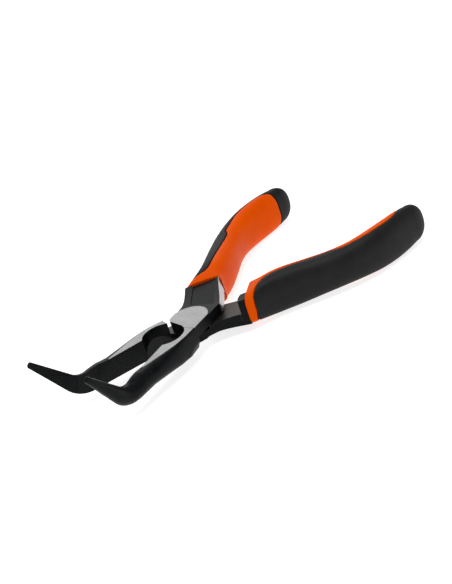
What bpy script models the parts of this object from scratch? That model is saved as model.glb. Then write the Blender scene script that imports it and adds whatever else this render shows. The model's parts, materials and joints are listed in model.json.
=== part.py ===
"""Bent needle nose pliers, 200 mm long, with side cutters, half-round jaws and two-part handles.

Two forged steel halves cross at a lap joint and turn on one rivet, and a torsion spring opens them.
Every half is drawn closed, with the pivot at its own origin: jaws along +Y, the grip plane at x = 0,
jaw on the -X side and handle on the +X side. The lower half is the mirror image of that, and an empty
on the pivot axis then swings each half open to its place.
"""

import math

import bmesh
import bpy
from mathutils import Matrix, Vector

MM = 0.001
WELD = 1e-6

# Overall, in metres
OPEN_ANGLE = math.radians(13.8)
PIVOT_Y = 16.1 * MM
PIVOT_Z = 10.13 * MM
GAP = 0.3 * MM

# Joint, in metres
HALF_THICK = 5.4 * MM
BOSS_RADIUS = 9.4 * MM
BOSS_CENTRE_Y = 4.0 * MM
RIVET_RADIUS = 3.5 * MM
RIVET_HEAD_RADIUS = 5.2 * MM
RIVET_TOP = 3.6 * MM
RIVET_HEAD_DEPTH = 1.7 * MM
RIVET_NECK = RIVET_HEAD_DEPTH - HALF_THICK

# Return spring, in metres, and its legs' pockets in degrees
WIRE_RADIUS = 0.45 * MM
COIL_RADIUS = 6.0 * MM
COIL_TURNS = 1.75
COIL_START = math.radians(-100)
COIL_PITCH = 1.0 * MM
LEG_REACH = 8.6 * MM
LEG_CLEARANCE = 0.7 * MM
POCKET_RADIUS = 7.3 * MM
POCKET_DEPTH = 1.65 * MM
UPPER_LEG = (-125, -75)
LOWER_LEG = (-24, 17)

# Jaw, in metres: depths and widths in jaw() are in millimetres
GRIP_OFFSET = 0.15 * MM
ROOT_Y = 9 * MM
ROOT_INSET = 0.02 * MM
TOP_TAPER = 0.012
BOTTOM_TAPER = 0.006
REACH = (66.5 * MM, 9.9 * MM)
BEND_TOP = (61.2 * MM, 4.7 * MM)
BEND_BOTTOM = (64.1 * MM, -5.1 * MM)
BEND_TOP_RADIUS = 9.0 * MM
BEND_BOTTOM_RADIUS = 15.0 * MM
TIP_TOP = (79.3 * MM, 22.3 * MM)
TIP_BOTTOM = (81.3 * MM, 20.3 * MM)
TIP_CAP = 0.7 * MM
RECESS_RADIUS = 8.8 * MM
RECESS_CENTRE = (2.9 * MM, 19.2 * MM)
RECESS_DEPTH = 24 * MM
CUTTER_EDGE_Z = -4.6 * MM
CUTTER_RISE = 0.82

# From here on, in millimetres. CLEAR is a height that clears all of the steel.
CLEAR = 12

# Collar plane: the oblique front of the handle, from its outer to its inner corner
COLLAR_OUTER = (16.25, -18.6)
COLLAR_INNER = (1.0, -27.4)
LEAN_OUTER = 0.05
LEAN_INNER = 0.6
BACK = Vector((0.35, -0.94))

# Shank sections: distances from the inner edge or along it, and heights
EDGE_START = Vector((-9.3, -8.4))
EDGE_AHEAD = Vector((0.52, -0.854)).normalized()
ROOF = [(-50, 5.0), (8, 5.0), (26, 6.9), (40, 7.3), (40, CLEAR), (-50, CLEAR)]
RELIEF = [(8, -1), (-1.6, -1), (-1.6, 0), (-0.4, 6), (-0.4, 9), (8, 9)]
DRAFT = [(6, 0), (1.45, 0), (0.5, 5), (0.2, 7), (0.2, CLEAR), (6, CLEAR)]
RAMP_FOOT = (1.0, 0)
RAMP_HEAD = (-9.5, 5)
RAMP_SETBACK = 3.7

# Handle: its end cap's reach in millimetres, and in metres the overmould's wall and a height above it
END_REACH = Vector((-1.6, -8.2))
WALL = 2.3 * MM
ABOVE = 16 * MM

scene = bpy.context.scene
for old in list(bpy.data.objects):
    bpy.data.objects.remove(old, do_unlink=True)

parts = bpy.data.collections.new("Needle nose pliers")
cutters = bpy.data.collections.new("Cutters")
scene.collection.children.link(parts)
scene.collection.children.link(cutters)


def mm(points):
    """The same points with every coordinate given in millimetres turned into metres."""
    return [tuple(value * MM for value in point) for point in points]


def spline(rows, steps):
    """The smooth (Catmull-Rom) run through rows of numbers, with so many steps in each stretch."""
    first = [2 * a - b for a, b in zip(rows[0], rows[1])]
    last = [2 * a - b for a, b in zip(rows[-1], rows[-2])]
    ends = [first, *rows, last]
    found = []
    for a, b, c, d in zip(ends, ends[1:], ends[2:], ends[3:]):
        for step in range(steps):
            t = step / steps
            found.append([
                0.5 * (2 * q + (r - p) * t + (2 * p - 5 * q + 4 * r - s) * t**2
                       + (3 * q - 3 * r + s - p) * t**3)
                for p, q, r, s in zip(a, b, c, d)
            ])
    return found + [list(rows[-1])]


def arc(centre, radius, start, end, steps):
    """Points on an arc in the XY plane, angles in degrees."""
    angles = [math.radians(start + (end - start) * step / steps) for step in range(steps + 1)]
    return [(centre[0] + radius * math.cos(a), centre[1] + radius * math.sin(a)) for a in angles]


def rounded(corner, before, after, radius, steps):
    """The points of a fillet of this radius at a corner between two straight runs."""
    corner, before, after = Vector(corner), Vector(before), Vector(after)
    a, b = (before - corner).normalized(), (after - corner).normalized()
    half = a.angle(b) / 2
    reach = radius / math.tan(half)
    centre = corner + (a + b).normalized() * radius / math.sin(half)
    first, last = corner + a * reach - centre, corner + b * reach - centre
    turn = first.angle(last)
    points = []
    for k in range(steps + 1):
        share = k / steps
        mix = first * math.sin(turn * (1 - share)) + last * math.sin(turn * share)
        points.append(centre + mix / math.sin(turn))
    return points


def material(name, colour, roughness, metallic):
    made = bpy.data.materials.new(name)
    made.use_nodes = True
    shader = made.node_tree.nodes["Principled BSDF"]
    shader.inputs["Base Color"].default_value = (*colour, 1)
    shader.inputs["Roughness"].default_value = roughness
    shader.inputs["Metallic"].default_value = metallic
    made.diffuse_color = (*colour, 1)
    return made


def mesh_object(name, form, collection):
    bmesh.ops.recalc_face_normals(form, faces=form.faces)
    mesh = bpy.data.meshes.new(name)
    form.to_mesh(mesh)
    form.free()
    made = bpy.data.objects.new(name, mesh)
    collection.objects.link(made)
    if collection is cutters:
        made.hide_render = True
        made.display_type = "WIRE"
    return made


def slab(name, outline, low, high):
    """A flat outline as a filled 2D curve, extruded from low to high and made one welded mesh."""
    curve = bpy.data.curves.new(name, "CURVE")
    curve.dimensions = "2D"
    curve.fill_mode = "BOTH"
    curve.extrude = (high - low) / 2
    border = curve.splines.new("POLY")
    border.points.add(len(outline) - 1)
    for point, (x, y) in zip(border.points, outline):
        point.co = (x, y, 0, 1)
    border.use_cyclic_u = True
    drawn = bpy.data.objects.new(name, curve)
    drawn.location.z = (low + high) / 2
    scene.collection.objects.link(drawn)
    bpy.context.view_layer.update()
    graph = bpy.context.evaluated_depsgraph_get()
    form = bmesh.new()
    mesh = bpy.data.meshes.new_from_object(drawn.evaluated_get(graph))
    form.from_mesh(mesh)
    form.transform(drawn.matrix_world)
    bpy.data.objects.remove(drawn)
    bpy.data.meshes.remove(mesh)
    bmesh.ops.remove_doubles(form, verts=form.verts, dist=WELD)
    return mesh_object(name, form, cutters)


def loft(name, rings, ladder=False):
    """A closed body through rings of equal count. A ladder end joins each point to its opposite one."""
    form = bmesh.new()
    rows = [[form.verts.new(point) for point in ring] for ring in rings]
    count = len(rows[0])
    for low, high in zip(rows, rows[1:]):
        for k in range(count):
            form.faces.new((low[k], low[(k + 1) % count], high[(k + 1) % count], high[k]))
    for row in (rows[0], rows[-1]):
        if not ladder:
            form.faces.new(row)
            continue
        for k in range(count // 2 - 1):
            form.faces.new((row[k], row[k + 1], row[count - k - 2], row[count - k - 1]))
    return mesh_object(name, form, cutters)


def turned(name, profile, steps=48):
    """A body turned about the pivot axis: the profile's points are (radius, z), top to bottom."""
    form = bmesh.new()
    places = [form.verts.new((radius, 0, z)) for radius, z in profile]
    for a, b in zip(places, places[1:]):
        form.edges.new((a, b))
    mesh = bpy.data.meshes.new(name)
    form.to_mesh(mesh)
    form.free()
    made = bpy.data.objects.new(name, mesh)
    cutters.objects.link(made)
    made.hide_render = True
    made.display_type = "WIRE"
    screw = made.modifiers.new("turn", "SCREW")
    screw.steps = screw.render_steps = steps
    screw.use_merge_vertices = True
    screw.merge_threshold = WELD
    return made


def combine(target, operation, other):
    """Adds one Boolean step to the target's modifiers."""
    step = target.modifiers.new(f"{operation.lower()} {other.name}", "BOOLEAN")
    step.operation = operation
    step.object = other
    step.solver = "EXACT"


def settled(name, source, collection, mirrored):
    """The object's finished mesh as a plain object, mirrored for the lower half."""
    bpy.context.view_layer.update()
    graph = bpy.context.evaluated_depsgraph_get()
    form = bmesh.new()
    mesh = bpy.data.meshes.new_from_object(source.evaluated_get(graph))
    form.from_mesh(mesh)
    bpy.data.meshes.remove(mesh)
    if mirrored:
        form.transform(Matrix.Scale(-1, 4, (1, 0, 0)))
    bmesh.ops.remove_doubles(form, verts=form.verts, dist=2 * WELD)
    bmesh.ops.dissolve_degenerate(form, edges=form.edges, dist=2 * WELD)
    return mesh_object(name, form, collection)


# Forged half


def jaw_profile():
    """Pairs of top and bottom points of the jaw in the YZ plane, from its root to its tip."""
    straight = [ROOT_Y + ahead * MM for ahead in (0, 5, 11, 18, 24, 30, 36)]
    high = HALF_THICK - ROOT_INSET
    top = [(y, high - TOP_TAPER * (y - ROOT_Y)) for y in straight]
    bottom = [(y, BOTTOM_TAPER * (y - ROOT_Y) - high) for y in straight]
    curve = rounded(BEND_BOTTOM, bottom[-1], TIP_BOTTOM, BEND_BOTTOM_RADIUS, 10)
    turn = rounded(BEND_TOP, top[-1], TIP_TOP, BEND_TOP_RADIUS, 6)
    reach = Vector(REACH)
    crest = mm([(50.5, 5.5), (54.0, 5.3)])
    top += [*crest, *turn, turn[-1].lerp(reach, 0.5), reach]
    bottom += curve
    for share in (0.3, 0.6, 0.85, 1.0):
        top.append(reach.lerp(Vector(TIP_TOP), share))
        bottom.append(curve[-1].lerp(Vector(TIP_BOTTOM), share))
    return list(zip(top, bottom))


def jaw_section(top, bottom, depth, facet):
    """A half-round section: flat grip face, flat top and bottom facets, round outside."""
    top, bottom = Vector((0, *top)), Vector((0, *bottom))
    middle, up = (top + bottom) / 2, (top - bottom) / 2
    out = Vector((-1, 0, 0))
    ring = [top + out * GRIP_OFFSET, top + out * facet]
    steps = 8
    for k in range(1, steps):
        turn = math.pi * k / steps
        fullness = 0.8 if turn < math.pi / 2 else 1.15
        bulge = (depth - facet) * math.sin(turn) ** fullness
        ring.append(middle + up * math.cos(turn) + out * (facet + bulge))
    return ring + [bottom + out * facet, bottom + out * GRIP_OFFSET]


def jaw():
    """The bent jaw as a loft of half-round sections that get thinner towards the tip."""
    depth = [9.2, 9.2, 9.2, 9.0, 8.4, 7.7, 6.9, 6.4, 6.0, 5.7, 5.4]
    depth += [5.1, 4.8, 4.6, 4.4, 4.3, 4.2, 4.1, 3.4, 2.8, 2.3, 1.6]
    facet = [8.6, 8.6, 8.4, 7.3, 5.4, 3.3, 1.2, 0.7, 0.5] + [0.45] * 13
    rings = [
        jaw_section(top, bottom, out * MM, flat * MM)
        for (top, bottom), out, flat in zip(jaw_profile(), depth, facet)
    ]
    last = rings[-1]
    middle = sum(last, Vector()) / len(last)
    ahead = Vector((0, 1, 1)).normalized() * TIP_CAP
    rings.append([middle + (point - middle) * 0.72 + ahead for point in last])
    return loft("jaw", rings)


def joint_outline(rear_left, rear_right):
    """The plate seen from above, from its front left corner clockwise down to two rear corners."""
    front = [(-9.2, 13.0), (0.0, 13.0), (0.0, 11.0), (1.8, 10.3)]
    front += [(6.9, 8.4), (8.0, 7.7), (8.7, 6.7), (9.0, 5.4)]
    return mm(front + rear_right + rear_left)


def forging(side):
    """The steel half. side is 1 where its lap is the upper one and -1 where it is the lower one."""
    body = shank()
    combine(body, "DIFFERENCE", panel(side))
    rear = arc((0, BOSS_CENTRE_Y / MM), BOSS_RADIUS / MM, -22, -158, 16)
    plan = joint_outline([], [(9.0, 1.0), *rear[1:-1], (-9.2, 1.0)])
    combine(body, "UNION", slab("boss", plan, -HALF_THICK, HALF_THICK))
    combine(body, "UNION", jaw())
    combine(body, "DIFFERENCE", collar_front())
    combine(body, "UNION", tang("tang", 0))
    lap = [(-16, 12.4), (16, 12.4), (24, -9.8), (-5.9, -30.4), (-16, -22)]
    low, high = sorted((side * GAP / 2, -side * CLEAR * MM))
    combine(body, "DIFFERENCE", slab("lap cut", mm(lap), low, high))
    combine(body, "DIFFERENCE", lap_ramp(side))
    if side < 0:
        combine(body, "DIFFERENCE", along_edge("lap relief", RELIEF, -9, 19, side))
    combine(body, "DIFFERENCE", recess())
    return body


def on_edge(along, beyond):
    """A point in plan: its distance along the shank's inner edge, and how far it lies beyond it."""
    return EDGE_START + EDGE_AHEAD * along + Vector((EDGE_AHEAD.y, -EDGE_AHEAD.x)) * beyond


def along_edge(name, corners, start, end, side):
    """A prism along the inner edge whose section is given as (beyond the edge, height) points."""
    rings = []
    for along in (start, end):
        rings.append([Vector((*on_edge(along, beyond), side * z)) * MM for beyond, z in corners])
    return loft(name, rings)


def across_edge(name, corners, side):
    """A prism square to the inner edge whose section is given as (along the edge, height) points."""
    rings = []
    for beyond in (-40, 20):
        rings.append([Vector((*on_edge(along, beyond), side * z)) * MM for along, z in corners])
    return loft(name, rings)


def lap_ramp(side):
    """The slope behind the lap's end, set back where it meets the lap."""
    (low, bottom), (high, top) = RAMP_FOOT, RAMP_HEAD
    rings = []
    for along, inward in ((17, RAMP_SETBACK), (19, RAMP_SETBACK), (20.6, 0), (36, 0)):
        corners = [(low + 6, bottom), (low - inward, bottom), (high - inward, top)]
        corners += [(high - inward, CLEAR), (low + 6, CLEAR)]
        rings.append([Vector((*on_edge(along, beyond), -side * z)) * MM for beyond, z in corners])
    return loft("lap ramp", rings)


def shank():
    """The shank, which gets thicker towards the handle, with a drafted inner side."""
    right = [(9.0, -1.5), (9.4, -5.0), (10.6, -9.0), (12.5, -13.1)]
    right += [(14.4, -16.6), (15.7, -19.4), (16.0, -24.0)]
    left = [tuple(on_edge(along, 1.4)) for along in (31, 3)] + [(-9.5, -8.6), (-9.3, -5.0)]
    body = slab("shank", joint_outline(left, right), -8 * MM, 8 * MM)
    for side in (1, -1):
        combine(body, "DIFFERENCE", across_edge("shank roof", ROOF, side))
        combine(body, "DIFFERENCE", along_edge("inner draft", DRAFT, -6, 36, side))
    return body


def collar_lean(share):
    """How far the collar's front lies back for each unit of height, from its inner to its outer corner."""
    return LEAN_INNER + (LEAN_OUTER - LEAN_INNER) * share


def collar_front():
    """The space the handle's front takes up: it lies further back away from the middle height."""
    outer, inner = Vector(COLLAR_OUTER), Vector(COLLAR_INNER)
    line = (outer - inner).normalized()
    front = Vector((-line.y, line.x)) * GAP / MM
    levels = range(-10, 11, 2)
    rings = []
    for step in range(-4, 15, 2):
        share = step / 10
        place = inner.lerp(outer, share) + front
        reaches = [(collar_lean(share) * abs(z), z) for z in levels] + [(16, z) for z in reversed(levels)]
        rings.append([Vector((*(place + BACK * reach), z)) * MM for reach, z in reaches])
    return loft("collar front", rings, ladder=True)


def recess():
    """The cutter's hollow: a round well whose floor slopes down to the cutting edge at x = 0."""
    form = bmesh.new()
    bmesh.ops.create_cone(
        form, cap_ends=True, segments=64, radius1=RECESS_RADIUS, radius2=RECESS_RADIUS, depth=RECESS_DEPTH
    )
    centre = Vector((*RECESS_CENTRE, CUTTER_EDGE_Z + RECESS_DEPTH / 2))
    bmesh.ops.translate(form, verts=form.verts, vec=centre)
    floor = Vector((-CUTTER_RISE, 0, -1)).normalized()
    low = Vector((0, 0, CUTTER_EDGE_Z))
    bmesh.ops.bisect_plane(
        form, geom=[*form.verts, *form.edges, *form.faces], plane_co=low, plane_no=floor, clear_outer=True
    )
    bmesh.ops.holes_fill(form, edges=[edge for edge in form.edges if edge.is_boundary])
    return mesh_object("recess", form, cutters)


def panel(side):
    """The forged hollow on the shank, on the side that shows the lap's outer face."""
    rings = []
    for ends, floor in (([(5.7, -6.6), (-6.6, -8.2)], 4.3), ([(15.2, -26.0), (4.6, -29.8)], 6.2)):
        corners = [(*ends[0], floor), (*ends[1], floor), (*ends[1], CLEAR), (*ends[0], CLEAR)]
        rings.append([Vector((x, y, side * z)) * MM for x, y, z in corners])
    return loft("panel", rings)


def tang(name, grow):
    """The tapered bar inside the handle; grow makes the hollow that it sits in."""
    places = [(11.6, -18.2), (10.3, -24.0), (10.4, -31.0), (12.8, -41.0), (16.5, -52.0)]
    places += [(20.3, -63.0), (23.0, -73.0), (23.8, -83.0), (23.0, -91.0)]
    half_width = [4.2, 4.1, 3.9, 3.6, 3.4, 3.1, 2.8, 2.6, 2.2]
    half_height = [4.0, 4.0, 3.8, 3.6, 3.3, 3.0, 3.0, 3.0, 2.6]
    turn_in = [0.9, 0.9, 0.4] + [0.0] * 6
    cut = 0.8 * MM
    along = [Vector(place).to_3d() for place in mm(places)]
    rings = []
    for k, (place, wide, high, share) in enumerate(zip(along, half_width, half_height, turn_in)):
        ahead = along[min(k + 1, len(along) - 1)] - along[max(k - 1, 0)]
        across = Vector((-ahead.y, ahead.x, 0)).normalized()
        across = across.lerp(Vector((0.68, 0.73, 0)), share).normalized()
        wide, high = wide * MM + grow, high * MM + grow
        corners = [(wide, high - cut), (wide - cut, high), (cut - wide, high), (-wide, high - cut)]
        corners += [(-x, -z) for x, z in corners]
        rings.append([place + across * x + Vector((0, 0, z)) for x, z in corners])
    if grow:
        rings[0] = [point + (point - after) for point, after in zip(rings[0], rings[1])]
        rings[-1] = [point + Vector((0, -grow, 0)) for point in rings[-1]]
    return loft(name, rings)


# Handle


def handle_stations():
    """Outer corner, inner corner, half height, squareness and lean of the handle's sections."""
    outer = [COLLAR_OUTER, (16.4, -20.0), (16.9, -25.0), (18.4, -35.0), (22.2, -46.0), (25.7, -56.0)]
    outer += [(28.6, -66.0), (30.1, -76.0), (30.0, -86.0), (28.4, -95.5), (26.0, -104.0), (24.0, -110.5)]
    inner = [COLLAR_INNER, (1.5, -28.7), (3.5, -33.0), (5.5, -40.9), (7.4, -48.0), (10.1, -56.0)]
    inner += [(13.9, -66.0), (16.6, -76.0), (17.3, -86.0), (16.6, -95.5), (15.3, -104.0), (14.4, -110.5)]
    half_height = [7.2, 7.6, 8.6, 9.7, 9.7, 9.2, 8.9, 9.2, 9.9, 10.2, 10.0, 9.2]
    squareness = [4.6, 4.2, 3.2, 2.6] + [2.4] * 8
    lean = [1.0, 0.95, 0.6, 0.25, 0.05] + [0.0] * 7
    return [(*a, *b, *rest) for a, b, *rest in zip(outer, inner, half_height, squareness, lean)]


def handle(name, inset, steps=3):
    """The whole handle as a loft of superellipses, drawn in by inset all over."""
    thin = inset / MM
    rings = []
    for ox, oy, ix, iy, height, power, back in spline(handle_stations(), steps):
        outer, inner = Vector((ox, oy)), Vector((ix, iy))
        wide = outer - inner
        ring = oval(outer, inner, height, power, thin)
        for point in ring:
            share = (point.xy - inner).dot(wide) / wide.length_squared
            point.xy += BACK * back * collar_lean(share) * abs(point.z)
        rings.append(ring)
    middle, half = (outer + inner) / 2, (outer - inner) / 2
    for turn in (20, 38, 54, 68, 79):
        angle = math.radians(turn)
        shrink = math.cos(angle) ** 0.8
        if min(half.length, height) * shrink - thin < 0.6:
            break
        place = middle + END_REACH * math.sin(angle) + Vector((0, thin * math.sin(angle)))
        rings.append(oval(place + half * shrink, place - half * shrink, height * shrink, power, thin))
    kept = rings[steps:] if inset else rings
    return loft(name, [[point * MM for point in ring] for ring in kept], ladder=True)


def oval(outer, inner, height, power, inset, rounds=24):
    """A superellipse standing on the line from inner to outer."""
    middle, half = (outer + inner) / 2, (outer - inner) / 2
    wide, high = half.length - inset, height - inset
    along = half.normalized()
    ring = []
    for k in range(rounds):
        turn = 2 * math.pi * (k + 0.5) / rounds
        c, s = math.cos(turn), math.sin(turn)
        x = wide * math.copysign(abs(c) ** (2 / power), c)
        z = high * math.copysign(abs(s) ** (2 / power), s)
        ring.append(Vector((*(middle + along * x), z)))
    return ring


def grip_outline(grow):
    """The black overmould seen from above: the outer side and the whole end of the handle."""
    edge = [(17.0, -22.7), (14.8, -26.4), (12.6, -29.9), (11.4, -32.8), (11.4, -36.0), (13.0, -43.0)]
    edge += [(14.9, -49.8), (16.8, -56.5), (18.7, -63.2), (19.9, -66.8), (22.4, -70.0), (23.6, -75.0)]
    edge += [(24.9, -84.0), (24.2, -94.5), (21.8, -102.5), (17.5, -107.0)]
    points = [Vector(point) for point in mm([(22.0, -20.8), *spline(edge, 3), (8.0, -108.4)])]
    found = []
    for k, point in enumerate(points):
        ahead = points[min(k + 1, len(points) - 1)] - points[max(k - 1, 0)]
        found.append(tuple(point + Vector((ahead.y, -ahead.x)).normalized() * grow))
    return found + mm([(8.0, -125.0), (40.0, -125.0)]) + [(40.0 * MM, grow - 24.6 * MM)]


def grip():
    """The overmould: the handle's outer side and end, hollowed for the core."""
    body = handle("grip form", 0)
    combine(body, "INTERSECT", slab("grip region", grip_outline(0), -ABOVE, ABOVE))
    combine(body, "DIFFERENCE", handle("grip seat", WALL))
    return body


def core():
    """The orange body: what the overmould leaves bare, and the core under it."""
    body = handle("core form", 0)
    combine(body, "DIFFERENCE", slab("core region", grip_outline(GAP), -ABOVE, ABOVE))
    combine(body, "UNION", handle("core seat", WALL + GAP))
    combine(body, "DIFFERENCE", tang("tang seat", GAP))
    return body


def rivet():
    """The turned rivet: a plain shaft with a countersunk head flush with the lower face."""
    profile = [(0, RIVET_TOP), (RIVET_RADIUS, RIVET_TOP), (RIVET_RADIUS, RIVET_NECK)]
    return turned("rivet form", profile + [(RIVET_HEAD_RADIUS, -HALF_THICK), (0, -HALF_THICK)])


def rivet_hole():
    """The rivet's seat in both halves, with running clearance, open below the lower face."""
    below = 1 * MM
    slope = (RIVET_HEAD_RADIUS - RIVET_RADIUS) / RIVET_HEAD_DEPTH
    wide, top = RIVET_RADIUS + GAP, RIVET_TOP + GAP
    rim = RIVET_HEAD_RADIUS + GAP + slope * below
    low = -HALF_THICK - below
    return turned("rivet hole", [(0, top), (wide, top), (wide, RIVET_NECK), (rim, low), (0, low)])


def spring_pocket(start, end):
    """A round pocket for the coil, with a sector for its leg from start to end, in degrees."""
    pocket = slab("coil pocket", arc((0, 0), POCKET_RADIUS, 0, 360, 48)[:-1], -POCKET_DEPTH, POCKET_DEPTH)
    sector = arc((0, 0), LEG_REACH + LEG_CLEARANCE, start, end, 8) + [(0, 0)]
    combine(pocket, "UNION", slab("leg pocket", sector, -POCKET_DEPTH, POCKET_DEPTH))
    return pocket


def spring_line():
    """The wire's centre line: one and three quarter turns with a straight leg at each end."""
    steps = 36
    turns = []
    for k in range(steps + 1):
        share = k / steps
        turn = COIL_START + 2 * math.pi * COIL_TURNS * share
        z = COIL_PITCH * COIL_TURNS * (0.5 - share)
        turns.append(Vector((COIL_RADIUS * math.cos(turn), COIL_RADIUS * math.sin(turn), z)))
    legs = []
    for end in (turns[0], turns[-1]):
        outward = Vector((end.x, end.y, 0)).normalized()
        legs.append(end + outward * (LEG_REACH - COIL_RADIUS))
    return [legs[0], *turns, legs[1]]


def spring(name):
    """The return spring as a round wire along its coil and legs."""
    curve = bpy.data.curves.new(name, "CURVE")
    curve.dimensions = "3D"
    curve.bevel_depth = WIRE_RADIUS
    curve.bevel_resolution = 2
    curve.use_fill_caps = True
    places = spring_line()
    wire_line = curve.splines.new("POLY")
    wire_line.points.add(len(places) - 1)
    for point, place in zip(wire_line.points, places):
        point.co = (*place, 1)
    made = bpy.data.objects.new(name, curve)
    parts.objects.link(made)
    return made


def swing(name, angle):
    """An empty on the pivot axis that carries one half, turned open by this angle."""
    empty = bpy.data.objects.new(name, None)
    empty.location = (0, PIVOT_Y, PIVOT_Z)
    empty.rotation_euler.z = angle
    empty.empty_display_size = 0.02
    scene.collection.objects.link(empty)
    return empty


def finish(made, carrier, paint):
    """Hangs the piece on its carrier, gives it its material and shades it."""
    made.parent = carrier
    made.data.materials.append(paint)
    if made.type == "MESH":
        made.data.shade_smooth()
        made.data.set_sharp_from_angle(angle=math.radians(35))


steel = material("phosphated steel", (0.035, 0.037, 0.04), 0.42, 0.8)
bright = material("bright steel", (0.55, 0.55, 0.56), 0.3, 1.0)
wire = material("spring steel", (0.3, 0.3, 0.31), 0.35, 1.0)
orange = material("orange plastic", (0.83, 0.13, 0.005), 0.45, 0.0)
black = material("black elastomer", (0.025, 0.025, 0.026), 0.65, 0.0)

upper_swing = swing("upper_swing", OPEN_ANGLE)
lower_swing = swing("lower_swing", -OPEN_ANGLE)

for title, side, carrier, leg in (
    ("upper", 1, upper_swing, UPPER_LEG),
    ("lower", -1, lower_swing, LOWER_LEG),
):
    half = forging(side)
    combine(half, "DIFFERENCE", rivet_hole())
    combine(half, "DIFFERENCE", spring_pocket(*leg))
    finish(settled(f"{title}_half", half, parts, side < 0), carrier, steel)
    finish(settled(f"{title}_handle_body", core(), parts, side < 0), carrier, orange)
    finish(settled(f"{title}_handle_grip", grip(), parts, side < 0), carrier, black)

finish(settled("pivot_rivet", rivet(), parts, False), upper_swing, bright)
finish(spring("return_spring"), upper_swing, wire)
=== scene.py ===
"""Looks of the bent needle nose pliers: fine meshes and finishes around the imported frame.

Each half and handle is drawn closed in millimetres, with the pivot at its own origin: jaw along +Y on
the -X side, handle on the +X side and the grip plane at x = 0. placed() mirrors it for the lower half,
and turns it open about the joint's axis.
"""

import json
import math

import bmesh
import bpy
from mathutils import Matrix, Vector


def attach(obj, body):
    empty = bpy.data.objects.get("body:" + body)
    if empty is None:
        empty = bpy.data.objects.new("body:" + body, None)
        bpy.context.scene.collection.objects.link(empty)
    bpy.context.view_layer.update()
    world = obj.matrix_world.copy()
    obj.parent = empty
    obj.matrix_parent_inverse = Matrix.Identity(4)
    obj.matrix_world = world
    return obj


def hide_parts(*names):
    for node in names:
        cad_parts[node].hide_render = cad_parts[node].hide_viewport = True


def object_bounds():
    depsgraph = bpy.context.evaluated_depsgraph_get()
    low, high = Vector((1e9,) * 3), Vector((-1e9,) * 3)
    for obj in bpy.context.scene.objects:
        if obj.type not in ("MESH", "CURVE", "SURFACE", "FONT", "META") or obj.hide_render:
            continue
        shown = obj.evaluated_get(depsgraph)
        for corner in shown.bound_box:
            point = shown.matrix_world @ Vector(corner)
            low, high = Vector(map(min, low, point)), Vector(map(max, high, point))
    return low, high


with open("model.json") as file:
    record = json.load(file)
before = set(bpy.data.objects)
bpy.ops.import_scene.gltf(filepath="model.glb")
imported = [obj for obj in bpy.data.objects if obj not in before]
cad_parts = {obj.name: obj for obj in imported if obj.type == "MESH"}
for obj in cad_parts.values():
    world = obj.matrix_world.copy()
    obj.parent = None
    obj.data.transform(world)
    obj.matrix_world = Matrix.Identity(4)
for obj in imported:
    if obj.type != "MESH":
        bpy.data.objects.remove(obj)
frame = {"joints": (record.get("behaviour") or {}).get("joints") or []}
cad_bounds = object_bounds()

MM = 0.001
JOINT = frame["joints"][0]
PIVOT = Vector(JOINT["pos_m"])
OPEN_ANGLE = math.radians(JOINT["range_deg"][1]) / 2
GAP = 0.3

# Joint
HALF_THICK = 5.4
BOSS_RADIUS = 9.4
BOSS_CENTRE_Y = 4.0
RIVET_RADIUS = 3.5
RIVET_HEAD_RADIUS = 5.2
RIVET_TOP = 3.6
RIVET_HEAD_DEPTH = 1.7
RIVET_NECK = RIVET_HEAD_DEPTH - HALF_THICK

# Return spring
WIRE_RADIUS = 0.45
COIL_RADIUS = 6.0
COIL_TURNS = 1.75
COIL_START = math.radians(-100)
COIL_PITCH = 1.0
LEG_REACH = 8.6
LEG_CLEARANCE = 0.7
POCKET_RADIUS = 7.3
POCKET_DEPTH = 1.65
UPPER_LEG = (-125, -75)
LOWER_LEG = (-24, 17)

# Jaw, with the ground flat on top that ends at GROUND_END_Y
ROOT_Y = 9
ROOT_HEIGHT = HALF_THICK - 0.02
TOP_TAPER = 0.012
BOTTOM_TAPER = 0.006
GRIP_OFFSET = 0.15
TOOTH_DEPTH = 0.22
TOOTH_PITCH = 0.8
TEETH_START_Y = 21.5
TEETH_FOOT = GRIP_OFFSET + TOOTH_DEPTH + 0.06
GRIP_POINTS = 9
BEND_TOP = (61.2, 4.7)
BEND_BOTTOM = (64.1, -5.1)
TIP_TOP = (79.3, 22.3)
TIP_BOTTOM = (81.3, 20.3)
BEND_TOP_RADIUS = 9.0
BEND_BOTTOM_RADIUS = 15.0
CREST = [(50.5, 5.5), (54.0, 5.3)]
REACH = Vector((66.5, 9.9))
TIP_CAP = 0.7
GROUND_END_Y = 46.0
RECESS_RADIUS = 8.8
RECESS_CENTRE = (2.9, 19.2)
RECESS_DEPTH = 24
CUTTER_EDGE_Z = -4.6
CUTTER_RISE = 0.82
CUTTER_GAP = 0.04

# The oblique front of the handle, from its outer to its inner corner. The steel reaches a little into it.
COLLAR_OUTER = Vector((16.25, -18.6))
COLLAR_INNER = Vector((1.0, -27.4))
LEAN_OUTER = 0.05
LEAN_INNER = 0.6
BACK = Vector((0.35, -0.94))
COLLAR_GAP = -0.1

# Shank sections, as distances from the inner edge or along it, and heights. CLEAR is above all of the steel.
CLEAR = 12
EDGE_START = Vector((-9.3, -8.4))
EDGE_AHEAD = Vector((0.52, -0.854)).normalized()
ROOF = [(-50, 5.0), (8, 5.0), (26, 6.9), (40, 7.3), (40, CLEAR), (-50, CLEAR)]
RELIEF = [(8, -1), (-1.6, -1), (-1.6, 0), (-0.4, 6), (-0.4, 9), (8, 9)]
DRAFT = [(6, 0), (1.45, 0), (0.5, 5), (0.2, 7), (0.2, CLEAR), (6, CLEAR)]
RAMP_FOOT = (1.0, 0)
RAMP_HEAD = (-9.5, 5)
RAMP_SETBACK = 3.7

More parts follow.
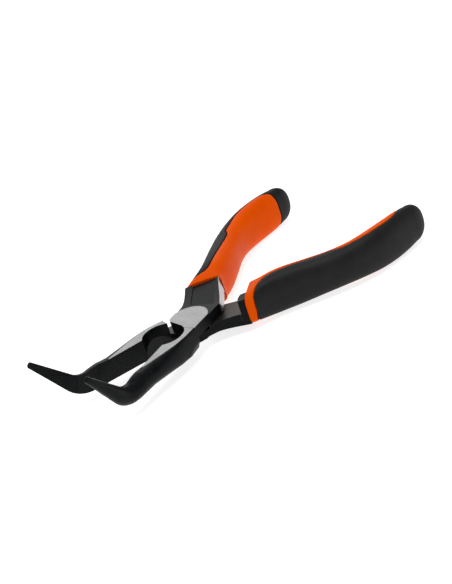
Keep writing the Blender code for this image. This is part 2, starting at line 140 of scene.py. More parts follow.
# The forged hollow's floor: its front right and left corners and its rear ones
HOLLOW_FRONT = [(5.7, -6.6), (-6.6, -8.2)]
HOLLOW_FRONT_Z = 4.3
HOLLOW_REAR = [(15.2, -26.0), (4.6, -29.8)]
HOLLOW_REAR_Z = 6.2

# Handle: its end cap's reach, the overmould's wall and a height above it
END_REACH = Vector((-1.6, -8.2))
WALL = 2.3
ABOVE = 16

# The steel halves' finishes, by slot
BLACK, GROUND, HOLLOW, LAP, FLANK = range(5)


# Mesh tools


def spline(rows, steps):
    """The smooth (Catmull-Rom) run through rows of numbers, with so many steps in each stretch."""
    first = [2 * a - b for a, b in zip(rows[0], rows[1])]
    last = [2 * a - b for a, b in zip(rows[-1], rows[-2])]
    ends = [first, *rows, last]
    found = []
    for a, b, c, d in zip(ends, ends[1:], ends[2:], ends[3:]):
        for step in range(steps):
            t = step / steps
            found.append([
                0.5 * (2 * q + (r - p) * t + (2 * p - 5 * q + 4 * r - s) * t**2
                       + (3 * q - 3 * r + s - p) * t**3)
                for p, q, r, s in zip(a, b, c, d)
            ])
    return found + [list(rows[-1])]


def arc(centre, radius, start, end, steps):
    """Points on an arc in the XY plane, angles in degrees."""
    angles = [math.radians(start + (end - start) * step / steps) for step in range(steps + 1)]
    return [(centre[0] + radius * math.cos(a), centre[1] + radius * math.sin(a)) for a in angles]


def rounded(corner, before, after, radius, steps):
    """The points of a fillet of this radius at a corner between two straight runs."""
    corner, before, after = Vector(corner), Vector(before), Vector(after)
    a, b = (before - corner).normalized(), (after - corner).normalized()
    half = a.angle(b) / 2
    centre = corner + (a + b).normalized() * radius / math.sin(half)
    reach = radius / math.tan(half)
    first, last = corner + a * reach - centre, corner + b * reach - centre
    turn = first.angle(last)
    points = []
    for k in range(steps + 1):
        share = k / steps
        mix = first * math.sin(turn * (1 - share)) + last * math.sin(turn * share)
        points.append(centre + mix / math.sin(turn))
    return points


def body_of(name, form):
    """The form as an object, in millimetres, with its faces pointing out."""
    bmesh.ops.recalc_face_normals(form, faces=form.faces)
    mesh = bpy.data.meshes.new(name)
    form.to_mesh(mesh)
    form.free()
    made = bpy.data.objects.new(name, mesh)
    bpy.context.scene.collection.objects.link(made)
    return made


def loft(name, rings, ladder=False):
    """A closed body through rings of equal count. A ladder end joins each point to its opposite one."""
    form = bmesh.new()
    rows = [[form.verts.new(point) for point in ring] for ring in rings]
    count = len(rows[0])
    for low, high in zip(rows, rows[1:]):
        for k in range(count):
            after = (k + 1) % count
            form.faces.new((low[k], low[after], high[after], high[k]))
    for row in (rows[0], rows[-1]):
        if not ladder:
            form.faces.new(row)
            continue
        for k in range(count // 2 - 1):
            form.faces.new((row[k], row[k + 1], row[count - k - 2], row[count - k - 1]))
    return body_of(name, form)


def slab(name, outline, low, high):
    """A flat outline extruded from low to high."""
    return loft(name, [[(x, y, z) for x, y in outline] for z in (low, high)])


def turned(name, profile, steps=128):
    """A body turned about the pivot axis: the profile's points are (radius, z), on the axis at its ends."""
    form = bmesh.new()
    rings = []
    for radius, z in profile[1:-1]:
        angles = [2 * math.pi * k / steps for k in range(steps)]
        rings.append([form.verts.new((radius * math.cos(a), radius * math.sin(a), z)) for a in angles])
    for low, high in zip(rings, rings[1:]):
        for k in range(steps):
            after = (k + 1) % steps
            form.faces.new((low[k], low[after], high[after], high[k]))
    form.faces.new(rings[0])
    form.faces.new(rings[-1])
    return body_of(name, form)


def settle(body):
    """Applies the body's modifiers to its mesh."""
    bpy.context.view_layer.update()
    graph = bpy.context.evaluated_depsgraph_get()
    mesh = bpy.data.meshes.new_from_object(body.evaluated_get(graph))
    body.modifiers.clear()
    body.data = mesh


def combine(body, operation, other):
    """One Boolean step, applied at once. The other body is used up."""
    step = body.modifiers.new(operation, "BOOLEAN")
    step.operation = operation
    step.object = other
    step.solver = "EXACT"
    settle(body)
    bpy.data.objects.remove(other)


def softened(body, voxel, rounds):
    """Rounds a moulded body's edges: an even mesh of this size, smoothed so many times."""
    remesh = body.modifiers.new("even", "REMESH")
    remesh.mode = "VOXEL"
    remesh.voxel_size = voxel
    smooth = body.modifiers.new("round", "SMOOTH")
    smooth.factor = 0.5
    smooth.iterations = rounds
    settle(body)


def bevelled(body, width, keep):
    """Breaks the sharp edges that keep() doesn't spare."""
    form = bmesh.new()
    form.from_mesh(body.data)
    bmesh.ops.remove_doubles(form, verts=form.verts, dist=0.004)
    bmesh.ops.dissolve_degenerate(form, edges=form.edges, dist=0.004)
    flat = math.radians(1.0)
    bmesh.ops.dissolve_limit(form, angle_limit=flat, verts=form.verts, edges=form.edges)
    sharp = []
    for edge in form.edges:
        if len(edge.link_faces) == 2 and edge.calc_face_angle() > math.radians(30):
            if not all(keep(vert.co) for vert in edge.verts):
                sharp.append(edge)
    bmesh.ops.bevel(
        form, geom=sharp, offset=width, segments=2, profile=0.6, affect="EDGES", clamp_overlap=True
    )
    form.to_mesh(body.data)
    form.free()


# Steel half


def jaw_top(y):
    """The height of the jaw's flat top, which falls a little from the root on."""
    return ROOT_HEIGHT - TOP_TAPER * (y - ROOT_Y)


def jaw_profile():
    """Rows of the jaw's top and bottom points in the YZ plane, its depth and its flat facet's width."""
    straight = [ROOT_Y + ahead for ahead in (0, 5, 11, 18, 24, 30, 36)]
    top = [(y, jaw_top(y)) for y in straight]
    bottom = [(y, BOTTOM_TAPER * (y - ROOT_Y) - ROOT_HEIGHT) for y in straight]
    curve = rounded(BEND_BOTTOM, bottom[-1], TIP_BOTTOM, BEND_BOTTOM_RADIUS, 10)
    turn = rounded(BEND_TOP, top[-1], TIP_TOP, BEND_TOP_RADIUS, 6)
    top += [*CREST, *turn, turn[-1].lerp(REACH, 0.5), REACH]
    bottom += curve
    for share in (0.3, 0.6, 0.85, 1.0):
        top.append(REACH.lerp(Vector(TIP_TOP), share))
        bottom.append(curve[-1].lerp(Vector(TIP_BOTTOM), share))
    depth = [9.2, 9.2, 9.2, 9.0, 8.4, 7.7, 6.9, 6.4, 6.0, 5.7, 5.4]
    depth += [5.1, 4.8, 4.6, 4.4, 4.3, 4.2, 4.1, 3.4, 2.8, 2.3, 1.6]
    facet = [8.6, 8.6, 8.4, 7.3, 5.4, 3.3, 1.2, 0.7, 0.5] + [0.45] * 13
    return [(*a, *b, deep, flat) for a, b, deep, flat in zip(top, bottom, depth, facet)]


def jaw_stations():
    """The jaw's rows at half a tooth's spacing, measured along its middle line."""
    rows = jaw_profile()
    found = [rows[0]]
    spare = 0.0
    half_pitch = TOOTH_PITCH / 2
    for row, after in zip(rows, rows[1:]):
        move = (after[0] + after[2] - row[0] - row[2], after[1] + after[3] - row[1] - row[3])
        run = Vector(move).length / 2
        place = half_pitch - spare
        while place < run:
            share = place / run
            found.append([a + (b - a) * share for a, b in zip(row, after)])
            place += half_pitch
        spare = run - (place - half_pitch)
    return found + [rows[-1]]


def jaw_section(row, count, end=1.0):
    """A half-round section: the toothed grip face, narrow top and bottom facets and the round outside.

    count is the station's number, which sets whether a tooth or a valley lies there. end shrinks the section.
    """
    top_y, top_z, bottom_y, bottom_z, depth, facet = row
    top, bottom = Vector((0, top_y, top_z)), Vector((0, bottom_y, bottom_z))
    middle, up = (top + bottom) / 2, (top - bottom) / 2
    out = Vector((-1, 0, 0))
    toothed = top_y > TEETH_START_Y
    crossed = top_z + bottom_z > 3.0
    ring = []
    for k in range(GRIP_POINTS):
        share = 1 - 2 * k / (GRIP_POINTS - 1)
        valley = (count + k * crossed) % 2
        ring.append(middle + up * share * 0.985 + out * (GRIP_OFFSET + TOOTH_DEPTH * valley * toothed))
    ring.append(middle - up + out * TEETH_FOOT)
    steps = 22
    for k in range(steps + 1):
        turn = math.pi * (1 - k / steps)
        fullness = 0.8 if turn < math.pi / 2 else 1.15
        bulge = (depth - facet) * math.sin(turn) ** fullness if 0 < k < steps else 0.0
        ring.append(middle + up * math.cos(turn) + out * (facet + 0.1 + bulge * (1 - 0.1 / depth)))
    ring.append(middle + up + out * TEETH_FOOT)
    centre = middle + out * depth / 2
    return [centre + (point - centre) * end for point in ring]


def jaw():
    """The bent jaw as a loft of half-round sections, with a rounded tip."""
    rows = jaw_stations()
    rings = [jaw_section(row, count) for count, row in enumerate(rows)]
    ahead = Vector((0, 1, 1)).normalized()
    for turn in (25, 50, 70, 85):
        angle = math.radians(turn)
        tip = jaw_section(rows[-1], len(rows), 0.35 + 0.65 * math.cos(angle))
        rings.append([point + ahead * TIP_CAP * math.sin(angle) for point in tip])
    return loft("jaw", rings)


def joint_outline(rear_left, rear_right):
    """The plate seen from above, from its front left corner clockwise down to two rear corners."""
    shoulder = spline([(1.8, 10.3), (6.9, 8.4), (8.0, 7.7), (8.7, 6.7), (9.0, 5.4)], 4)
    cutter = [(-CUTTER_GAP, 13.0), (-CUTTER_GAP, 11.0)]
    return [(-9.2, 13.0), *cutter, *shoulder, *rear_right, *rear_left]


def on_edge(along, beyond):
    """A point in plan: its distance along the shank's inner edge, and how far it lies beyond it."""
    return EDGE_START + EDGE_AHEAD * along + Vector((EDGE_AHEAD.y, -EDGE_AHEAD.x)) * beyond


def along_edge(name, corners, start, end, side):
    """A prism along the inner edge whose section is given as (beyond the edge, height) points."""
    rings = []
    for along in (start, end):
        rings.append([(*on_edge(along, beyond), side * z) for beyond, z in corners])
    return loft(name, rings)


def across_edge(name, corners, side):
    """A prism square to the inner edge whose section is given as (along the edge, height) points."""
    rings = []
    for beyond in (-40, 20):
        rings.append([(*on_edge(along, beyond), side * z) for along, z in corners])
    return loft(name, rings)


def lap_ramp(side):
    """The slope behind the lap's end, set back where it meets the lap."""
    (low, bottom), (high, top) = RAMP_FOOT, RAMP_HEAD
    rings = []
    for along, inward in ((17, RAMP_SETBACK), (19, RAMP_SETBACK), (20.6, 0), (36, 0)):
        section = [(low + 6, bottom), (low - inward, bottom), (high - inward, top)]
        section += [(high - inward, CLEAR), (low + 6, CLEAR)]
        rings.append([(*on_edge(along, beyond), -side * z) for beyond, z in section])
    return loft("lap ramp", rings)


def shank():
    """The shank, which gets thicker towards the handle, with a drafted inner side."""
    outer = [(9.0, -1.5), (9.4, -5.0), (10.6, -9.0), (12.5, -13.1)]
    outer += [(14.4, -16.6), (15.7, -19.4), (16.0, -24.0)]
    right = [tuple(point) for point in spline(outer, 4)]
    left = [tuple(on_edge(along, 1.4)) for along in (31, 3)] + [(-9.5, -8.6), (-9.3, -5.0)]
    body = slab("shank", joint_outline(left, right), -8, 8)
    for side in (1, -1):
        combine(body, "DIFFERENCE", across_edge("shank roof", ROOF, side))
        combine(body, "DIFFERENCE", along_edge("inner draft", DRAFT, -6, 36, side))
    return body


def collar_lean(share):
    """How far the collar's front lies back for each unit of height, from its inner to its outer corner."""
    return LEAN_INNER + (LEAN_OUTER - LEAN_INNER) * share


def collar_front():
    """The space the handle's front takes up: it lies further back away from the middle height."""
    line = (COLLAR_OUTER - COLLAR_INNER).normalized()
    front = Vector((-line.y, line.x)) * COLLAR_GAP
    levels = range(-10, 11)
    rings = []
    for step in range(-4, 15):
        share = step / 10
        place = COLLAR_INNER.lerp(COLLAR_OUTER, share) + front
        reaches = [(collar_lean(share) * abs(z), z) for z in levels] + [(16, z) for z in reversed(levels)]
        rings.append([(*(place + BACK * reach), z) for reach, z in reaches])
    return loft("collar front", rings, ladder=True)


def recess():
    """The cutter's hollow: a round well whose floor slopes down to the cutting edge at x = 0."""
    form = bmesh.new()
    bmesh.ops.create_cone(
        form, cap_ends=True, segments=128, radius1=RECESS_RADIUS, radius2=RECESS_RADIUS, depth=RECESS_DEPTH
    )
    bmesh.ops.translate(form, verts=form.verts, vec=(*RECESS_CENTRE, CUTTER_EDGE_Z + RECESS_DEPTH / 2))
    floor = Vector((-CUTTER_RISE, 0, -1)).normalized()
    everything = [*form.verts, *form.edges, *form.faces]
    low = (0, 0, CUTTER_EDGE_Z)
    bmesh.ops.bisect_plane(form, geom=everything, plane_co=low, plane_no=floor, clear_outer=True)
    bmesh.ops.holes_fill(form, edges=[edge for edge in form.edges if edge.is_boundary])
    return body_of("recess", form)


def panel(side):
    """The forged hollow on the shank, on the side that shows the lap's outer face."""
    rings = []
    for (right, left), floor in ((HOLLOW_FRONT, HOLLOW_FRONT_Z), (HOLLOW_REAR, HOLLOW_REAR_Z)):
        corners = [(*right, floor), (*left, floor), (*left, CLEAR), (*right, CLEAR)]
        rings.append([(x, y, side * z) for x, y, z in corners])
    return loft("panel", rings)


def tang():
    """The tapered bar inside the handle."""
    places = [(11.6, -18.2), (10.3, -24.0), (10.4, -31.0), (12.8, -41.0), (16.5, -52.0)]
    places += [(20.3, -63.0), (23.0, -73.0), (23.8, -83.0), (23.0, -91.0)]
    half_width = [4.2, 4.1, 3.9, 3.6, 3.4, 3.1, 2.8, 2.6, 2.2]
    half_height = [4.0, 4.0, 3.8, 3.6, 3.3, 3.0, 3.0, 3.0, 2.6]
    turn_in = [0.9, 0.9, 0.4] + [0.0] * 6
    along = [Vector((*place, 0)) for place in places]
    cut = 0.8
    rings = []
    for k, (place, wide, high, share) in enumerate(zip(along, half_width, half_height, turn_in)):
        ahead = along[min(k + 1, len(along) - 1)] - along[max(k - 1, 0)]
        across = Vector((-ahead.y, ahead.x, 0)).normalized()
        across = across.lerp(Vector((0.68, 0.73, 0)), share).normalized()
        corners = [(wide, high - cut), (wide - cut, high), (cut - wide, high), (-wide, high - cut)]
        corners += [(-x, -z) for x, z in corners]
        rings.append([place + across * x + Vector((0, 0, z)) for x, z in corners])
    return loft("tang", rings)


def rivet_hole():
    """The rivet's seat in both halves, with running clearance, open below the lower face."""
    slope = (RIVET_HEAD_RADIUS - RIVET_RADIUS) / RIVET_HEAD_DEPTH
    below = 1
    wide, low, top = RIVET_RADIUS + GAP, -HALF_THICK - below, RIVET_TOP + GAP
    rim = RIVET_HEAD_RADIUS + GAP + slope * below
    return turned("rivet hole", [(0, top), (wide, top), (wide, RIVET_NECK), (rim, low), (0, low)])


def spring_pocket(start, end):
    """A round pocket for the coil, with a sector for the leg from start to end, in degrees."""
    pocket = slab("coil pocket", arc((0, 0), POCKET_RADIUS, 0, 360, 96)[:-1], -POCKET_DEPTH, POCKET_DEPTH)
    sector = arc((0, 0), LEG_REACH + LEG_CLEARANCE, start, end, 12) + [(0, 0)]
    combine(pocket, "UNION", slab("leg pocket", sector, -POCKET_DEPTH, POCKET_DEPTH))
    return pocket


def root_facet(side):
    """The chamfer ground on the outer lower edge where the jaw begins."""
    rings = []
    for y, x, z in (4.0, -6.2, -0.6), (9.0, -6.9, -1.2), (22.0, -8.6, -3.6):
        corners = [(x, -HALF_THICK - 0.4), (-9.35, z), (-14, z), (-14, -CLEAR), (x, -CLEAR)]
        rings.append([(a, y, side * b) for a, b in corners])
    return loft("root facet", rings)


def forging(side):
    """The steel half. side is 1 where its lap is the upper one and -1 where it is the lower one."""
    body = shank()
    combine(body, "DIFFERENCE", panel(side))
    rear = arc((0, BOSS_CENTRE_Y), BOSS_RADIUS, -22, -158, 48)
    plan = joint_outline([], [(9.0, 1.0), *rear[1:-1], (-9.2, 1.0)])
    combine(body, "UNION", slab("boss", plan, -HALF_THICK, HALF_THICK))
    combine(body, "UNION", jaw())
    combine(body, "DIFFERENCE", root_facet(side))
    combine(body, "DIFFERENCE", collar_front())
    past_middle = [(-12, -24.6), (0.1, -24.6), (0.1, -31), (-12, -31)]
    combine(body, "DIFFERENCE", slab("past the middle", past_middle, -8.2, 8.2))
    combine(body, "UNION", tang())
    lap = [(-16, 12.4), (16, 12.4), (24, -9.8), (-5.9, -30.4), (-16, -22)]
    low, high = sorted((side * GAP / 2, -side * 9))
    combine(body, "DIFFERENCE", slab("lap cut", lap, low, high))
    combine(body, "DIFFERENCE", lap_ramp(side))
    if side < 0:
        combine(body, "DIFFERENCE", along_edge("lap relief", RELIEF, -9, 19, side))
    combine(body, "DIFFERENCE", recess())
    combine(body, "DIFFERENCE", rivet_hole())
    combine(body, "DIFFERENCE", spring_pocket(*(UPPER_LEG if side > 0 else LOWER_LEG)))
    bevelled(body, 0.22, lambda place: place.y > 20.5 and abs(place.x) < 1.0)
    return body


# Handle


def handle_stations():
    """Outer corner, inner corner, half height, squareness and lean of the handle's sections."""
    outer = [COLLAR_OUTER, (16.4, -20.0), (16.9, -25.0), (18.4, -35.0), (22.2, -46.0), (25.7, -56.0)]
    outer += [(28.6, -66.0), (30.1, -76.0), (30.0, -86.0), (28.4, -95.5), (26.0, -104.0), (24.0, -110.5)]
    inner = [COLLAR_INNER, (1.5, -28.7), (3.5, -33.0), (5.5, -40.9), (7.4, -48.0), (10.1, -56.0)]
    inner += [(13.9, -66.0), (16.6, -76.0), (17.3, -86.0), (16.6, -95.5), (15.3, -104.0), (14.4, -110.5)]
    half_height = [7.2, 7.6, 8.6, 9.7, 9.7, 9.2, 8.9, 9.2, 9.9, 10.2, 10.0, 9.2]
    squareness = [4.6, 4.2, 3.2, 2.6] + [2.4] * 8
    lean = [1.0, 0.95, 0.6, 0.25, 0.05] + [0.0] * 7
    return [(*a, *b, *rest) for a, b, *rest in zip(outer, inner, half_height, squareness, lean)]


def oval(outer, inner, height, power, inset, rounds=80):
    """A superellipse standing on the line from inner to outer."""
    middle, half = (outer + inner) / 2, (outer - inner) / 2
    wide, high = half.length - inset, height - inset
    along = half.normalized()
    ring = []
    for k in range(rounds):
        turn = 2 * math.pi * (k + 0.5) / rounds
        c, s = math.cos(turn), math.sin(turn)
        x = wide * math.copysign(abs(c) ** (2 / power), c)
        z = high * math.copysign(abs(s) ** (2 / power), s)
        ring.append(Vector((*(middle + along * x), z)))
    return ring


def handle(name, inset, steps=8):
    """The whole handle as a loft of superellipses, drawn in by inset all over."""
    rings = []
    for ox, oy, ix, iy, height, power, back in spline(handle_stations(), steps):
        outer, inner = Vector((ox, oy)), Vector((ix, iy))
        wide = outer - inner
        ring = oval(outer, inner, height, power, inset)
        for point in ring:
            share = (point.xy - inner).dot(wide) / wide.length_squared
            point.xy += BACK * back * collar_lean(share) * abs(point.z)
        rings.append(ring)
    middle, half = (outer + inner) / 2, (outer - inner) / 2
    for turn in range(8, 85, 8):
        angle = math.radians(turn)
        shrink = math.cos(angle) ** 0.8
        if min(half.length, height) * shrink - inset < 0.6:
            break
        place = middle + END_REACH * math.sin(angle) + Vector((0, inset * math.sin(angle)))
        rings.append(oval(place + half * shrink, place - half * shrink, height * shrink, power, inset))
    return loft(name, rings[steps if inset else 0:], ladder=True)


def grip_outline(grow):
    """The black overmould seen from above: the outer side and the whole end of the handle."""
    edge = [(17.0, -22.7), (14.8, -26.4), (12.6, -29.9), (11.4, -32.8), (11.4, -36.0), (13.0, -43.0)]
    edge += [(14.9, -49.8), (16.8, -56.5), (18.7, -63.2), (19.9, -66.8), (22.4, -70.0), (23.6, -75.0)]
    edge += [(24.9, -84.0), (24.2, -94.5), (21.8, -102.5), (17.5, -107.0)]
    points = [Vector(point) for point in [(22.0, -20.8), *spline(edge, 6), (8.0, -108.4)]]
    found = []
    for k, point in enumerate(points):
        ahead = points[min(k + 1, len(points) - 1)] - points[max(k - 1, 0)]
        found.append(point + Vector((ahead.y, -ahead.x)).normalized() * grow)
    return [tuple(point) for point in found] + [(8.0, -125.0), (40.0, -125.0), (40.0, -24.6 + grow)]


def grip_region(grow):
    """The space of the overmould. Low down, its front corner reaches further in, beside the collar."""
    region = slab("grip region", grip_outline(grow), -ABOVE, ABOVE)
    middle = [(18.5, -22.6), (17.2, -22.9), (16.1, -24.7), (15.0, -26.6)]
    middle += [(13.9, -28.3), (12.8, -30.1), (11.7, -33.5)]
    under = [(18.5, -22.4), (17.0, -22.8), (15.8, -23.2), (14.5, -24.3)]
    under += [(13.2, -25.9), (12.1, -28.3), (11.3, -33.0)]
    rings = []
    for corner, z in ((middle, grow - 0.5), (under, grow - 5.5), (under, -ABOVE)):
        rings.append([(x - grow, y + grow, z) for x, y in corner] + [(18.5, -36.0, z)])
    combine(region, "UNION", loft("grip corner", rings))
    return region


def grip():
    """The overmould: the handle's outer side and end, hollowed for the core."""
    body = handle("grip form", 0)
    combine(body, "INTERSECT", grip_region(0))
    combine(body, "DIFFERENCE", handle("grip seat", WALL))
    softened(body, 0.38, 4)
    return body


def core():
    """The orange body: what the overmould leaves bare, and the core under it."""
    body = handle("core form", 0)
    combine(body, "DIFFERENCE", grip_region(GAP))
    combine(body, "UNION", handle("core seat", WALL + GAP))
    softened(body, 0.33, 3)
    return body


def rivet():
    """The turned rivet: a plain shaft with a countersunk head and a broken rim."""
    rim = 0.25
    profile = [(0, RIVET_TOP), (RIVET_RADIUS - rim, RIVET_TOP), (RIVET_RADIUS, RIVET_TOP - rim)]
    profile += [(RIVET_RADIUS, RIVET_NECK), (RIVET_HEAD_RADIUS - 0.1, 0.1 - HALF_THICK)]
    profile += [(RIVET_HEAD_RADIUS - rim, -HALF_THICK), (0, -HALF_THICK)]
    return turned("rivet", profile)


def spring():
    """The return spring: round wire in one and three quarter turns, with a straight leg at each end."""
    turns = []
    steps = 96
    for k in range(steps + 1):
        share = k / steps
        turn = COIL_START + 2 * math.pi * COIL_TURNS * share
        z = COIL_PITCH * COIL_TURNS * (0.5 - share)
        turns.append(Vector((COIL_RADIUS * math.cos(turn), COIL_RADIUS * math.sin(turn), z)))
    legs = []
    for end in (turns[0], turns[-1]):
        outward = Vector((end.x, end.y, 0)).normalized()
        legs.append(end + outward * (LEG_REACH - COIL_RADIUS))
    line = [legs[0], *turns, legs[1]]
    rings = []
    for k, place in enumerate(line):
        ahead = (line[min(k + 1, len(line) - 1)] - line[max(k - 1, 0)]).normalized()
        across = ahead.cross(Vector((0, 0, 1))).normalized()
        up = across.cross(ahead)
        angles = [2 * math.pi * step / 16 for step in range(16)]
        rings.append([place + (across * math.cos(a) + up * math.sin(a)) * WIRE_RADIUS for a in angles])
    return loft("spring", rings)


# Finishes


def shader(name, colour, roughness, metallic):
    """A material with its Principled shader, and the object coordinates in millimetres."""
    made = bpy.data.materials.new(name)
    made.use_nodes = True
    nodes, links = made.node_tree.nodes, made.node_tree.links
    base = nodes["Principled BSDF"]
    base.inputs["Base Color"].default_value = (*colour, 1)
    base.inputs["Roughness"].default_value = roughness
    base.inputs["Metallic"].default_value = metallic
    place = nodes.new("ShaderNodeTexCoord").outputs["Object"]
    scale = nodes.new("ShaderNodeVectorMath")
    scale.operation = "SCALE"
    scale.inputs["Scale"].default_value = 1000
    links.new(place, scale.inputs[0])
    return made, base, scale.outputs["Vector"]


def noise_of(made, place, scale, detail, stretch=(1, 1, 1)):
    """Noise of so many cells in each millimetre, drawn out along the axes by stretch."""
    nodes, links = made.node_tree.nodes, made.node_tree.links
    mapping = nodes.new("ShaderNodeMapping")
    mapping.inputs["Scale"].default_value = stretch
    links.new(place, mapping.inputs["Vector"])
    texture = nodes.new("ShaderNodeTexNoise")
    texture.inputs["Scale"].default_value = scale
    texture.inputs["Detail"].default_value = detail
    links.new(mapping.outputs["Vector"], texture.inputs["Vector"])
    return texture.outputs["Fac"]


def ramp(made, value, low, high, start=0.3, end=0.7):
    """A number from low to high as value goes from start to end."""
    nodes, links = made.node_tree.nodes, made.node_tree.links
    mapped = nodes.new("ShaderNodeMapRange")
    for name, number in (("From Min", start), ("From Max", end), ("To Min", low), ("To Max", high)):
        mapped.inputs[name].default_value = number
    links.new(value, mapped.inputs["Value"])
    return mapped.outputs["Result"]


def mixed(made, share, first, second):
    """A colour between two: each is a colour or another node's output."""
    nodes, links = made.node_tree.nodes, made.node_tree.links
    mix = nodes.new("ShaderNodeMix")
    mix.data_type = "RGBA"
    links.new(share, mix.inputs["Factor"])
    for name, colour in (("A", first), ("B", second)):
        socket = next(s for s in mix.inputs if s.name == name and s.type == "RGBA")
        if isinstance(colour, tuple):
            socket.default_value = (*colour, 1)
        else:
            links.new(colour, socket)
    return next(s for s in mix.outputs if s.type == "RGBA")


def bumped(made, base, height, distance, strength=1.0):
    """Fine relief, its depth in millimetres."""
    nodes, links = made.node_tree.nodes, made.node_tree.links
    bump = nodes.new("ShaderNodeBump")
    bump.inputs["Distance"].default_value = distance * MM
    bump.inputs["Strength"].default_value = strength
    links.new(height, bump.inputs["Height"])
    links.new(bump.outputs["Normal"], base.inputs["Normal"])


def painted_edge_highlight(made):
    """0 on faces and 1 on edges, where the rounded normal leaves the face's own: the mask of the painted
    highlight on the edges.
    """
    nodes, links = made.node_tree.nodes, made.node_tree.links
    geometry = nodes.new("ShaderNodeNewGeometry")
    rim = nodes.new("ShaderNodeBevel")
    rim.samples = 4
    rim.inputs["Radius"].default_value = 0.25 * MM
    along = nodes.new("ShaderNodeVectorMath")
    along.operation = "DOT_PRODUCT"
    links.new(geometry.outputs["Normal"], along.inputs[0])
    links.new(rim.outputs["Normal"], along.inputs[1])
    return ramp(made, along.outputs["Value"], 1.0, 0.0, 0.88, 0.97)


def phosphated():
    """Blackened forged steel: a dark, slightly mottled skin with fine tooth, its edges painted lighter as a
    painted highlight.
    """
    made, base, place = shader("phosphated steel", (0.004, 0.0045, 0.005), 0.36, 0.0)
    base.inputs["Specular IOR Level"].default_value = 0.07
    links = made.node_tree.links
    mottle = noise_of(made, place, 0.35, 5)
    grain = noise_of(made, place, 5.0, 3)
    skin = mixed(made, ramp(made, mottle, 0, 1), (0.003, 0.0033, 0.0038), (0.006, 0.0066, 0.0076))
    # The edges are painted a lighter grey here: a painted highlight along them, not wear.
    colour = mixed(made, painted_edge_highlight(made), skin, (0.03, 0.031, 0.033))
    links.new(colour, base.inputs["Base Color"])
    links.new(ramp(made, mottle, 0.26, 0.38), base.inputs["Roughness"])
    bumped(made, base, grain, 0.02, 0.6)
    return made


def rough_forged():
    """The hollow forged panel: the same black skin, rougher and more mottled."""
    made, base, place = shader("rough phosphated steel", (0.02, 0.021, 0.023), 0.5, 0.0)
    base.inputs["Specular IOR Level"].default_value = 0.1
    links = made.node_tree.links
    mottle = noise_of(made, place, 0.9, 6)
    grain = noise_of(made, place, 3.0, 5)
    colour = mixed(made, ramp(made, mottle, 0, 1), (0.006, 0.0065, 0.0072), (0.022, 0.024, 0.027))
    links.new(colour, base.inputs["Base Color"])
    links.new(ramp(made, mottle, 0.42, 0.58), base.inputs["Roughness"])
    bumped(made, base, grain, 0.05, 0.7)
    return made


def ground(name, colour, along):
    """Bright ground steel, with fine grinding lines along one axis."""
    made, base, place = shader(name, colour, 0.4, 1.0)
    links = made.node_tree.links
    stretch = tuple(0.06 if axis == along else 1.0 for axis in "xyz")
    lines = noise_of(made, place, 7.0, 4, stretch)
    cloud = noise_of(made, place, 0.25, 3)
    dark = tuple(value * 0.82 for value in colour)
    light = tuple(min(1.0, value * 1.12) for value in colour)
    links.new(mixed(made, ramp(made, lines, 0, 1), dark, light), base.inputs["Base Color"])
    links.new(ramp(made, cloud, 0.36, 0.46), base.inputs["Roughness"])
    bumped(made, base, lines, 0.012, 0.5)
    return made


def lapped():
    """The bare lap face, browned by oil and rubbed by its mate."""
    made, base, place = shader("lapped steel", (0.06, 0.053, 0.05), 0.42, 1.0)
    links = made.node_tree.links
    rub = noise_of(made, place, 1.5, 5, (1, 0.3, 1))
    colour = mixed(made, ramp(made, rub, 0, 1), (0.042, 0.036, 0.033), (0.078, 0.068, 0.063))
    links.new(colour, base.inputs["Base Color"])
    links.new(ramp(made, rub, 0.36, 0.5), base.inputs["Roughness"])
    bumped(made, base, rub, 0.01, 0.5)
    return made


def moulded_orange():
    """Satin moulded plastic with a very fine texture and slight depth of colour."""
    made, base, place = shader("orange plastic", (0.74, 0.08, 0.0003), 0.45, 0.0)
    base.inputs["Specular IOR Level"].default_value = 0.04
    base.inputs["Specular Tint"].default_value = (1.0, 0.45, 0.1, 1)
    links = made.node_tree.links
    cloud = noise_of(made, place, 0.08, 2)
    grain = noise_of(made, place, 3.5, 3)
    colour = mixed(made, ramp(made, cloud, 0, 1), (0.71, 0.075, 0.0003), (0.77, 0.087, 0.0004))
    links.new(colour, base.inputs["Base Color"])
    links.new(ramp(made, grain, 0.38, 0.48), base.inputs["Roughness"])
    bumped(made, base, grain, 0.012, 0.5)
    return made


def elastomer():
    """Matt black overmould with the fine spark texture of its mould."""
    made, base, place = shader("black elastomer", (0.010, 0.010, 0.0105), 0.55, 0.0)
    base.inputs["Specular IOR Level"].default_value = 0.15
    links = made.node_tree.links
    cloud = noise_of(made, place, 0.12, 3)
    grain = noise_of(made, place, 4.5, 2)
    colour = mixed(made, ramp(made, cloud, 0, 1), (0.008, 0.008, 0.0084), (0.013, 0.013, 0.0134))
    links.new(colour, base.inputs["Base Color"])
    links.new(ramp(made, grain, 0.48, 0.62), base.inputs["Roughness"])
    bumped(made, base, grain, 0.03, 0.8)
    return made


def wire_steel():
    """Drawn spring wire, with faint drawing lines."""
    made, base, place = shader("spring wire", (0.3, 0.3, 0.31), 0.35, 1.0)
    links = made.node_tree.links
    lines = noise_of(made, place, 2.5, 3, (1, 1, 4))
    colour = mixed(made, ramp(made, lines, 0, 1), (0.24, 0.24, 0.25), (0.36, 0.36, 0.37))
    links.new(colour, base.inputs["Base Color"])
    links.new(ramp(made, lines, 0.28, 0.4), base.inputs["Roughness"])
    bumped(made, base, lines, 0.008, 0.5)
    return made


# Assembly


